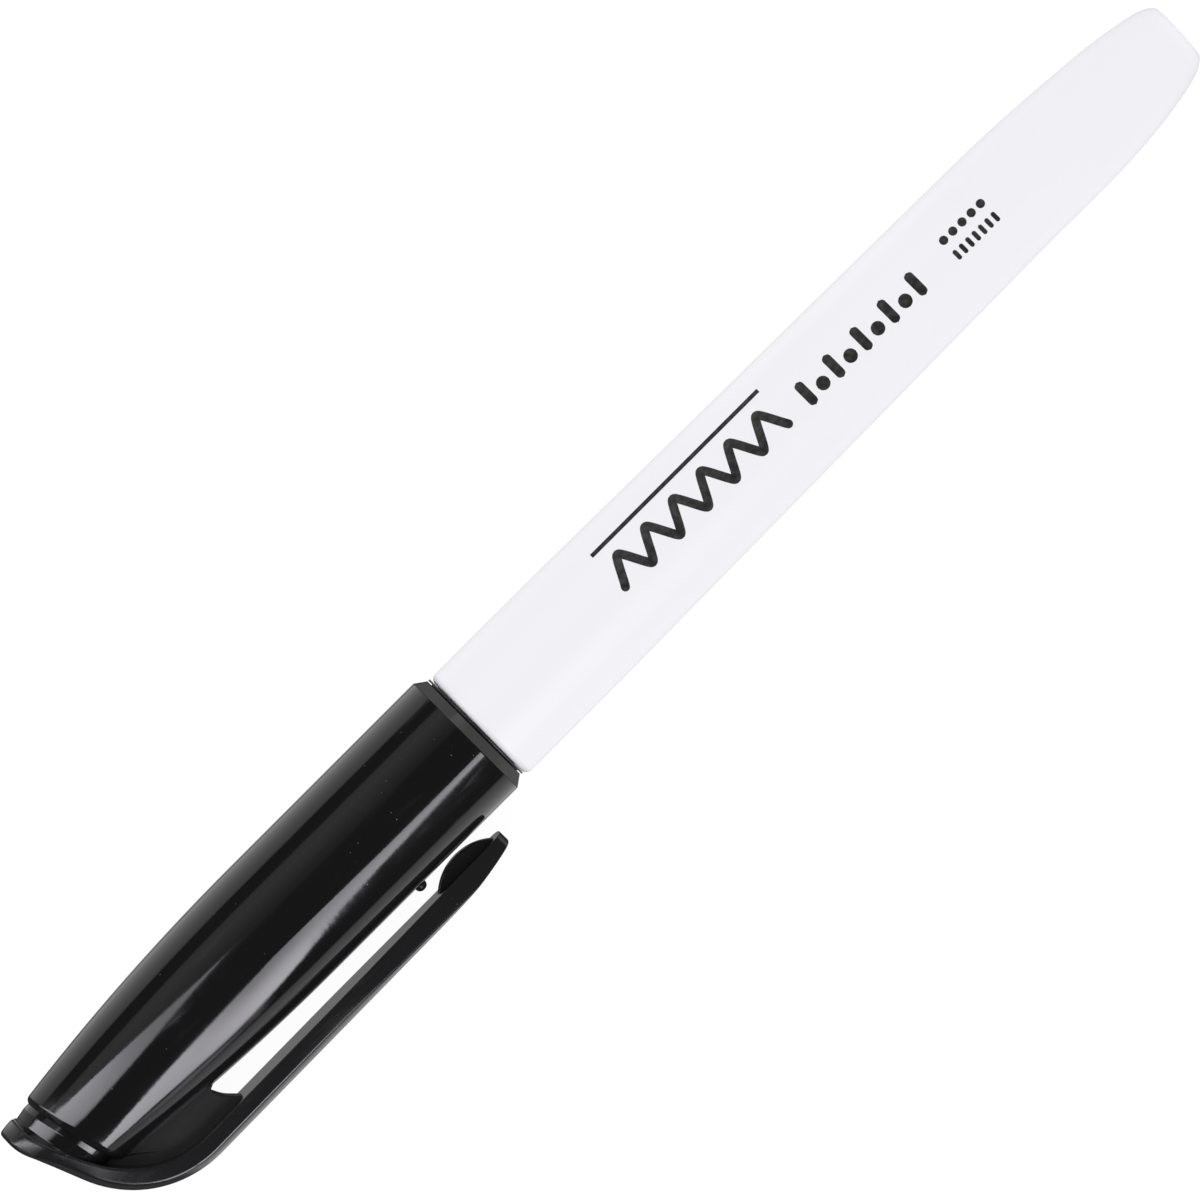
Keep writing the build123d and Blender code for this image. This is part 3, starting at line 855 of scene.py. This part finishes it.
def slab(name, outline, middle, half_thickness, edge, material):
    """Flat plate in the clip's middle plane with softly rounded edges, star-shaped about middle."""
    centre = Vector(middle)
    vertices, rings = [], []

    def add_ring(inset, v):
        ring = []
        for spot in outline:
            ray = Vector(spot) - centre
            kept = ray * (1 - min(1.0, inset / ray.length))
            ring.append(len(vertices))
            vertices.append(at(centre.x + kept.x, centre.y + kept.y, v))
        rings.append(ring)

    levels = [(1e3, 1.0), (edge + 0.35, 1.0), (edge + 0.05, 1.0)]
    for k in range(6):
        angle = math.pi / 2 * (1 - k / 5)
        fall = edge * (1 - math.sin(angle)) / half_thickness
        levels.append((edge * (1 - math.cos(angle)), 1 - fall))
    for inset, level in levels:
        add_ring(inset, half_thickness * level)
    for inset, level in reversed(levels):
        add_ring(inset, -half_thickness * level)
    return merge_and_orient(make_object(name, vertices, ring_faces(rings), material))


def clip_inner(x):
    """Height of the clip's inner face above the axis on its straight stretch."""
    return CLIP_CORNER[1] - (x - CLIP_CORNER[0]) * math.tan(CLIP_DROOP) - CLIP_THICKNESS


def fin_piece():
    """Rounded grip fin on the inside of the clip's nose."""
    base = clip_inner(FIN_CENTRE) + 0.5
    centre_height = FIN_TOP + FIN_RADIUS
    half_angle = math.acos((centre_height - base) / FIN_RADIUS)
    outline = []
    for k in range(49):
        angle = -half_angle + 2 * half_angle * k / 48
        height = centre_height - FIN_RADIUS * math.cos(angle)
        outline.append((FIN_CENTRE + FIN_RADIUS * math.sin(angle), height))
    chord = outline[-1][0] - outline[0][0]
    outline += [(outline[0][0] + chord * k / 12, base) for k in range(11, 0, -1)]
    middle = (FIN_CENTRE, (FIN_TOP + base) / 2 + 0.2)
    piece = slab("clip_fin", outline, middle, FIN_HALF_THICKNESS, 0.12, CLIP_BLACK)
    nudge(piece, CAP_OFFSET)
    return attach(piece, "clip")


def web_piece():
    """Thin wall from the neck and cap body to the inside of the clip's bend."""
    outline = rounded_profile([
        (3.4, 2.6), (14.4, 4.95), (16.4, 5.5, 0.1), (15.4, 5.95, 0.2), (15.95, 7.1, 3.0), (17.8, 9.0),
    ], step=0.5, hold=0.03)
    inside = 1.0
    start, end = 5.6, 20.9
    for k in range(31):
        point, heading = along_path(CLIP_PATH, end + (start - end) * k / 30)
        outline.append((point.x + heading.y * inside, point.y - heading.x * inside))
    piece = slab("cap_web", outline, (8.6, 6.4), WEB_HALF_THICKNESS, 0.12, WEB_BLACK)
    nudge(piece, CAP_OFFSET)
    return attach(piece, "cap")


# ---- print on the barrel ---------------------------------------------------------------------------
INK_HEIGHT = 0.012
INK_DEPTH = 0.03


def on_barrel(x, across, lift):
    """Point on the barrel's surface: across is the arc length from the print's middle line."""
    radius = tail_radius(x)
    angle = across / radius - VIEW_ROLL
    reach = radius + lift
    return at(x, reach * math.sin(angle), reach * math.cos(angle))


def ink_sheet(name, grids):
    """Closed thin ink shapes from grids of (x, across) points, joined in one object."""
    vertices, faces = [], []
    for grid in grids:
        rows, columns = len(grid), len(grid[0])
        base = len(vertices)
        for lift in (INK_HEIGHT, -INK_DEPTH):
            vertices += [on_barrel(x, across, lift) for row in grid for x, across in row]
        under = base + rows * columns

        def index(row, column, start):
            return start + row * columns + column

        for r in range(rows - 1):
            for c in range(columns - 1):
                corners = [(r, c), (r, c + 1), (r + 1, c + 1), (r + 1, c)]
                faces.append([index(a, b, base) for a, b in corners])
                faces.append([index(a, b, under) for a, b in reversed(corners)])
        rim = [(0, c) for c in range(columns)] + [(r, columns - 1) for r in range(1, rows)]
        rim += [(rows - 1, c) for c in range(columns - 2, -1, -1)]
        rim += [(r, 0) for r in range(rows - 2, 0, -1)]
        for here, there in zip(rim, rim[1:] + rim[:1]):
            top = [index(*here, base), index(*there, base)]
            faces.append(top + [index(*there, under), index(*here, under)])
    piece = merge_and_orient(make_object(name, vertices, faces, INK_BLACK), 1e-6)
    nudge(piece, BARREL_OFFSET)
    piece.data.polygons.foreach_set("use_smooth", [False] * len(piece.data.polygons))
    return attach(piece, "barrel")


def stroke(centre, width, steps, across=5):
    """Grid for a pen stroke: centre(t) is its line and width(t) its breadth, for t from 0 to 1."""
    grid = []
    for k in range(steps + 1):
        t = k / steps
        spot = Vector(centre(t))
        ahead, behind = Vector(centre(min(1, t + 1e-3))), Vector(centre(max(0, t - 1e-3)))
        heading = (ahead - behind).normalized()
        side = Vector((-heading.y, heading.x)) * max(width(t), 0.02) / 2
        grid.append([tuple(spot + side * (2 * c / across - 1)) for c in range(across + 1)])
    return grid


def bar(x, across, length, height):
    """Grid for a round-ended upright bar."""
    def width(t):
        end = min(t, 1 - t) * height / (length / 2)
        return length * math.sqrt(max(0.0, 1 - (1 - min(1, end)) ** 2))

    return stroke(lambda t: (x, across + height * (t - 0.5)), width, 18)


def disc(x, across, radius):
    """Grid for a round dot."""
    def width(t):
        return 2 * radius * math.sqrt(max(0.0, 1 - (2 * t - 1) ** 2))

    return stroke(lambda t: (x + radius * (2 * t - 1), across), width, 18, across=8)


def print_pieces():
    """Generic printed marks: an even zigzag under a ruled line, then rows of bars, dots and ticks."""
    start, turns, pitch = 70.3, 12, 1.66

    def zigzag(t):
        place = 0.12 + t * (turns - 0.24)
        swing = math.asin(0.93 * math.cos(math.pi * place)) / (math.pi / 2)
        return (start + pitch * place, -0.75 + 1.75 * swing)

    ends = [disc(*zigzag(t), 0.39) for t in (0, 1)]
    ink_sheet("print_zigzag", [stroke(zigzag, lambda t: 0.78, 320)] + ends)
    ink_sheet("print_rule", [stroke(lambda t: (start + pitch * turns * t, -3.7), lambda t: 0.45, 60)])
    row = []
    for k in range(9):
        x = 92.9 + 1.64 * k
        row.append(disc(x, 0.05, 0.62) if k % 2 else bar(x, -0.35, 0.85, 2.5))
    ink_sheet("print_row", row)
    dots = [disc(110.3 + 1.1 * k, -1.3, 0.4) for k in range(5)]
    ticks = [bar(110.25 + 0.76 * k, 0.4, 0.4, 1.0) for k in range(7)]
    ink_sheet("print_small_marks", dots + ticks)


# ---- the hidden pieces that keep their own shape -----------------------------------------------------
def dress_frame_nodes():
    """Materials for the frame's own nodes that stay as they are."""
    for name, material in (("reservoir_core", CORE_FIBRE), ("reservoir_film", FILM_CLEAR)):
        node = frame["nodes"][name]
        node.data.materials.clear()
        node.data.materials.append(material)


# ---- stage -----------------------------------------------------------------------------------------
VIEW_YAW = math.radians(-0.55)
VIEW_DISTANCE = 1.6
FRAME_WIDTH = 0.10187
SENSOR = 36.0
LOOK_AT = at(68.25, -0.127)
OVERHEAD = UP * math.cos(VIEW_ROLL) - TO_CLIP * math.sin(VIEW_ROLL)
SIDEWAYS = TO_CLIP * math.cos(VIEW_ROLL) + UP * math.sin(VIEW_ROLL)
REFLECTOR_DISTANCE = 0.32
FLOOR_GREY = (0.09, 0.09, 0.09)
FLOOR_GLOW = 0.955
FLOOR_HALF_WIDTH = 6.0


def view_direction():
    """Unit vector from the marker to the camera."""
    return ALONG * math.sin(VIEW_YAW) + OVERHEAD * math.cos(VIEW_YAW)


def camera_place():
    """Where the camera stands."""
    return LOOK_AT + view_direction() * VIEW_DISTANCE


def add_camera():
    """Long-lens camera that sees the marker's axis on the picture's rising diagonal."""
    back = view_direction()
    axis = (ALONG - back * ALONG.dot(back)).normalized()
    to_clip = back.cross(axis)
    if to_clip.dot(TO_CLIP) < 0:
        to_clip.negate()
    right, up = (axis + to_clip).normalized(), (axis - to_clip).normalized()
    camera = bpy.data.objects.new("camera", bpy.data.cameras.new("camera"))
    camera.data.sensor_width = SENSOR
    camera.data.lens = SENSOR * VIEW_DISTANCE / FRAME_WIDTH
    camera.data.clip_start, camera.data.clip_end = 0.05, 20
    camera.matrix_world = Matrix.Translation(camera_place()) @ Matrix(
        (right, up, back)).transposed().to_4x4()
    bpy.context.scene.collection.objects.link(camera)
    bpy.context.scene.camera = camera


def bounce(x, theta):
    """Where the camera's ray to the cap at x, at an angle theta round from it, goes next."""
    slope = math.asin(max(CAP_STRAIGHT - x, 0.0) / CAP_TAPER_ARC)
    round_angle = math.radians(theta) - VIEW_ROLL
    radius = cap_radius(x)
    u, v = math.sin(round_angle), math.cos(round_angle)
    point = at(x, radius * u, radius * v)
    normal = (TO_CLIP * u + UP * v) * math.cos(slope) - ALONG * math.sin(slope)
    to_camera = (camera_place() - point).normalized()
    leaving = normal * 2 * normal.dot(to_camera) - to_camera
    return point + leaving * REFLECTOR_DISTANCE


def between(x, stations, column):
    """Straight-line reading of a column of stations, which are listed by falling x."""
    for near, far in zip(stations, stations[1:]):
        if x >= far[0]:
            share = min(1.0, max(0.0, (near[0] - x) / (near[0] - far[0])))
            return near[column] + (far[column] - near[column]) * share
    return stations[-1][column]


def reflector(name, stations, glow, ragged=0.0, columns=20, rows=90):
    """Glowing sheet whose mirror image covers a given patch of the cap, seen only in reflections.

    stations are (x, upper angle, lower angle) of the patch; glow(x, share) is its brightness.
    """
    random.seed(4)
    first, last = stations[0][0], stations[-1][0]
    vertices, colours, faces = [], [], []
    wander = 0.0
    for i in range(rows + 1):
        x = first + (last - first) * i / rows
        wander = 0.75 * wander + random.uniform(-1, 1) * ragged
        upper, lower = between(x, stations, 1), between(x, stations, 2) + wander
        for j in range(columns + 1):
            share = j / columns
            vertices.append(bounce(x, upper + (lower - upper) * share))
            colours.append(glow(x, share))
    for i in range(rows):
        for j in range(columns):
            corner = i * (columns + 1) + j
            faces.append((corner, corner + 1, corner + columns + 2, corner + columns + 1))
    material = bpy.data.materials.new(name)
    material.use_nodes = True
    nodes, links = material.node_tree.nodes, material.node_tree.links
    nodes.clear()
    brightness = nodes.new("ShaderNodeAttribute")
    brightness.attribute_name = "glow"
    emission = nodes.new("ShaderNodeEmission")
    emission.inputs["Color"].default_value = (0.955, 0.94, 1.0, 1)
    output = nodes.new("ShaderNodeOutputMaterial")
    links.new(brightness.outputs["Fac"], emission.inputs["Strength"])
    links.new(emission.outputs[0], output.inputs[0])
    sheet = make_object(name, vertices, faces, material)
    attribute = sheet.data.attributes.new("glow", "FLOAT", "POINT")
    attribute.data.foreach_set("value", colours)
    for ray in ("camera", "diffuse", "transmission", "shadow", "volume_scatter"):
        setattr(sheet, "visible_" + ray, False)
    return sheet


def tip_glow(x, share):
    """Brightness of the upper reflector: strongest towards the cap's closed end."""
    level = 3.1 + 4.2 * smooth(14 - x, -3, 8) * (1 - 0.7 * share)
    return level * (1 - 0.6 * smooth(share, 0.88, 1))


def side_glow(x, share):
    """Brightness of the side reflector: brightest in the middle of the cap's length."""
    tip = 1 - smooth(x, 15.0, 25.0)
    mouth = smooth(x, 28.5, 34.0)
    middle = 3.8 + 5.2 * smooth(share, 0.0, 0.75)
    level = tip * (9.0 - 2.8 * share) + mouth * (5.4 + 1.2 * smooth(share, 0.1, 0.6))
    level += (1 - tip - mouth) * middle
    return level * (1 - 0.8 * smooth(share, 0.9, 1.0))


def low_glow(x, share):
    """Brightness of the dim sheet below the side reflector."""
    return (0.7 + 0.7 * smooth(x, 7.0, 15.0)) * (1 - 0.6 * smooth(x, 17.0, 24.0))


def add_reflectors():
    """The soft reflectors that draw the cap's highlights."""
    reflector("reflector_tip", [
        (24.4, -11.9, -11.7), (20.7, -12.9, -9.6), (13.9, -16.9, -3.8), (8.8, -20.4, -0.4),
        (6.0, -22.6, 1.5), (-1.0, -36.0, -6.0), (-14.0, -47.0, -14.0),
    ], tip_glow)
    reflector("reflector_side", [
        (58.0, 17.8, 21.4), (50.4, 17.6, 22.6), (47.9, 18.0, 22.9), (41.1, 18.0, 25.2),
        (34.3, 16.9, 28.6), (27.5, 16.2, 38.0), (20.7, 19.0, 42.5), (13.9, 23.0, 42.0),
        (8.8, 28.8, 41.6), (7.1, 32.2, 42.0), (1.0, 37.0, 43.0),
    ], side_glow, ragged=0.4)
    reflector("reflector_low", [
        (25.0, 41.9, 42.6), (20.7, 43.4, 46.2), (13.9, 43.2, 47.5), (8.8, 42.9, 47.2),
        (5.0, 43.6, 48.5), (1.0, 46.0, 51.0),
    ], low_glow)


def ramp_node(nodes, links, source, stops):
    """Grey ramp over a value between 0 and 1; stops are (position, brightness)."""
    node = nodes.new("ShaderNodeValToRGB")
    elements = node.color_ramp.elements
    while len(elements) < len(stops):
        elements.new(0.5)
    for element, (position, level) in zip(elements, stops):
        element.position = position
        element.color = (level, level, level, 1)
    links.new(source, node.inputs["Fac"])
    return node.outputs["Color"]


def ray_along(nodes, links, ray, direction):
    """How far a ray points along a fixed direction, from -1 to 1."""
    node = nodes.new("ShaderNodeVectorMath")
    node.operation = "DOT_PRODUCT"
    node.inputs[1].default_value = direction
    links.new(ray, node.inputs[0])
    return node.outputs["Value"]


def endwise_lean(nodes, links, ray):
    """How far a surface that turns this ray straight up to the rest camera leans along the axis."""
    halfway = nodes.new("ShaderNodeVectorMath")
    halfway.operation = "ADD"
    halfway.inputs[1].default_value = OVERHEAD
    links.new(ray, halfway.inputs[0])
    length = nodes.new("ShaderNodeVectorMath")
    length.operation = "LENGTH"
    links.new(halfway.outputs[0], length.inputs[0])
    return combine(nodes, links, "DIVIDE", ray_along(nodes, links, ray, ALONG), length.outputs["Value"])


def table_light(nodes, links, height, endwise):
    """White table seen from low down, darker towards its two ends."""
    table = ramp_node(nodes, links, height, [
        (0.0, 0.30), (0.025, 0.38), (0.06, 0.92), (0.22, 0.98), (0.44, 0.72), (0.470, 0.6), (0.486, 0.0)])
    off_square = combine(nodes, links, "ABSOLUTE", endwise, 0.0)
    ends_dark = remap(nodes, links, off_square, 0.13, 0.30, 1.0, 0.08)
    return combine(nodes, links, "MULTIPLY", table, ends_dark)


def screen_light(nodes, links, ray):
    """One dim screen overhead, on the side away from the clip."""
    sideways, upwards = (ray_along(nodes, links, ray, way) for way in (SIDEWAYS, OVERHEAD))
    round_angle = combine(nodes, links, "ARCTAN2", sideways, upwards)
    turned = remap(nodes, links, round_angle, math.radians(-70), math.radians(10), 0, 1)
    return ramp_node(nodes, links, turned, [
        (0.05, 0.0), (0.09, 0.42), (0.225, 0.47), (0.36, 0.36), (0.44, 0.27), (0.525, 0.17),
        (0.6, 0.13), (0.68, 0.0)])


def far_end_light(nodes, links, height, endwise):
    """Light wall beyond the tail, brighter upwards, which the bevel of the cap's mouth reflects."""
    reach = ramp_node(nodes, links, endwise, [(0.42, 0.0), (0.54, 1.0), (0.70, 1.0), (0.80, 0.0)])
    rise = ramp_node(nodes, links, height, [
        (0.0, 0.06), (0.05, 0.16), (0.16, 0.38), (0.33, 0.75), (0.6, 1.0)])
    return combine(nodes, links, "MULTIPLY", reach, rise)


def add_world():
    """Even white room that lights the marker; its reflections see a dark room over a white table,
    with one dim screen overhead and a light wall beyond the tail, laid out for the rest camera."""
    world = bpy.data.worlds.new("studio")
    bpy.context.scene.world = world
    world.use_nodes = True
    nodes, links = world.node_tree.nodes, world.node_tree.links
    ray = nodes.new("ShaderNodeTexCoord").outputs["Generated"]
    table_up = OVERHEAD * math.cos(TABLE_TILT) + SIDEWAYS * math.sin(TABLE_TILT)
    height = remap(nodes, links, ray_along(nodes, links, ray, table_up), -1, 1, 0, 1)
    endwise = endwise_lean(nodes, links, ray)
    low_and_over = combine(
        nodes, links, "ADD",
        table_light(nodes, links, height, endwise), screen_light(nodes, links, ray))
    total = combine(nodes, links, "ADD", low_and_over, far_end_light(nodes, links, height, endwise))
    rays = nodes.new("ShaderNodeLightPath")
    mixed = mix_colour(nodes, links, rays.outputs["Is Glossy Ray"], (1.0, 1.0, 1.0), total)
    background = nodes["Background"]
    links.new(mixed, background.inputs["Color"])
    background.inputs["Strength"].default_value = 1.0


def add_floor():
    """Large plain white table under the marker, softly lit from within like a studio sweep."""
    material, nodes, links, shader = new_material("floor_white")
    shader.inputs["Base Color"].default_value = (*FLOOR_GREY, 1)
    shader.inputs["Roughness"].default_value = 0.9
    shader.inputs["Specular IOR Level"].default_value = 0.0
    shader.inputs["Emission Color"].default_value = (1, 1, 1, 1)
    shader.inputs["Emission Strength"].default_value = FLOOR_GLOW
    half = FLOOR_HALF_WIDTH
    corners = [(-half, -half, 0), (half, -half, 0), (half, half, 0), (-half, half, 0)]
    floor = make_object("floor", corners, [(0, 1, 2, 3)], material)
    floor.visible_glossy = False


def build():
    """Everything, in order."""
    barrel_piece()
    holder_piece()
    nib_piece()
    seal_piece()
    cap_body_piece()
    neck_piece()
    pip_piece()
    web_piece()
    ribbon_piece()
    fin_piece()
    print_pieces()
    dress_frame_nodes()
    add_floor()
    add_world()
    add_reflectors()
    add_camera()
    scene = bpy.context.scene
    scene.view_settings.view_transform = "Standard"
    scene.view_settings.look = "None"


build()
